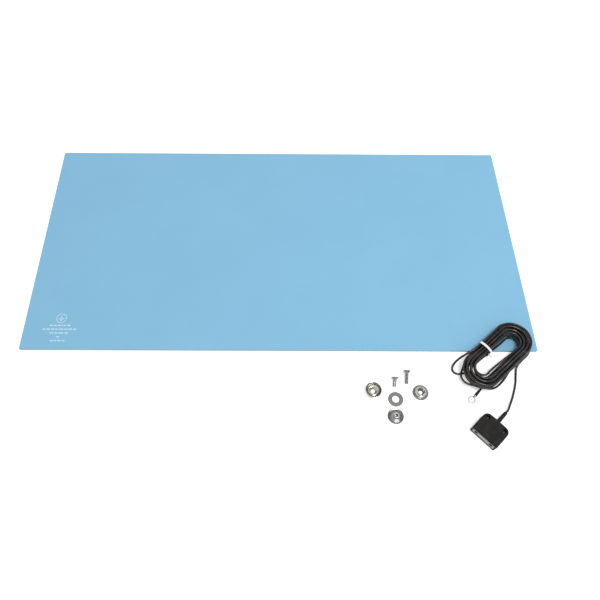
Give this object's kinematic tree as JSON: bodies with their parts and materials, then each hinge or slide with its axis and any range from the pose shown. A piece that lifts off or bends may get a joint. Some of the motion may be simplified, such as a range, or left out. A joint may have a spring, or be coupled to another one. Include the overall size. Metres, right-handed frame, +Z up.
{
  "type": "esd bench mat grounding kit",
  "caption": "Flat layered dissipative bench mat with a hanked common-point ground cord, twin-jack block, ring terminal and loose snap hardware.",
  "frame": {"origin": "middle of the mat's underside, on the bench", "axes": "+X along the mat's long side, +Y from the front edge to the back edge, +Z up"},
  "size_m": [0.61, 0.4206, 0.0167],
  "materials": {
    "mat_vinyl": "fine matt grain",
    "mat_core": "matt",
    "mat_foam": "matt foam",
    "white_ink": "printed",
    "block_black": "fine satin grain",
    "panel_grey": "satin",
    "jack_metal": "turned",
    "nickel": "bright nickel plate",
    "resistor_body": "lacquered",
    "tinned": "tinned",
    "screw_black": "black oxide",
    "spring_steel": "drawn wire",
    "relief_black": "satin",
    "cord_jacket": "satin PVC jacket",
    "tie_white": "smooth",
    "sleeve_black": "shrunk sleeve",
    "zinc": "zinc plate",
    "screw_steel": "zinc plate"
  },
  "bodies": {
    "mat": {"mat_top_layer": "mat_vinyl", "mat_core_layer": "mat_core", "mat_base_layer": "mat_foam", "mat_print": "white_ink"},
    "ground_cord": {"block_base": "block_black", "block_cover": "block_black", "jack_panel": "panel_grey", "banana_jack_left": "jack_metal", "banana_jack_right": "jack_metal", "jack_nuts": "nickel", "bus_bar": "jack_metal", "resistor": "resistor_body", "solder_tag": "tinned", "wire_crimp": "tinned", "cover_screws": "screw_black", "snap_socket": "nickel", "snap_spring": "spring_steel", "strain_relief": "relief_black", "cord_lead": "cord_jacket", "cord_hank": "cord_jacket", "cord_tail": "cord_jacket", "twist_tie": "tie_white", "ring_sleeve": "sleeve_black", "ring_terminal": "tinned"},
    "cup": {"socket_cup": "nickel"},
    "stud": {"slotted_stud": "nickel"},
    "washer": {"flat_washer": "zinc"},
    "nut": {"base_nut": "nickel"},
    "screw_short": {"short_screw": "screw_steel"},
    "screw_long": {"long_screw": "screw_steel"}
  },
  "joints": [
    {"name": "ground_cord_lift", "type": "slide", "parent": "mat", "child": "ground_cord", "axis": [0, 0, 1], "range_m": [0, 0.06]},
    {"name": "cup_lift", "type": "slide", "parent": "mat", "child": "cup", "axis": [0, 0, 1], "range_m": [0, 0.06]},
    {"name": "stud_lift", "type": "slide", "parent": "mat", "child": "stud", "axis": [0, 0, 1], "range_m": [0, 0.06]},
    {"name": "washer_lift", "type": "slide", "parent": "mat", "child": "washer", "axis": [0, 0, 1], "range_m": [0, 0.06]},
    {"name": "nut_lift", "type": "slide", "parent": "mat", "child": "nut", "axis": [0, 0, 1], "range_m": [0, 0.06]},
    {"name": "screw_short_lift", "type": "slide", "parent": "mat", "child": "screw_short", "axis": [0, 0, 1], "range_m": [0, 0.06]},
    {"name": "screw_long_lift", "type": "slide", "parent": "mat", "child": "screw_long", "axis": [0, 0, 1], "range_m": [0, 0.06]}
  ]
}
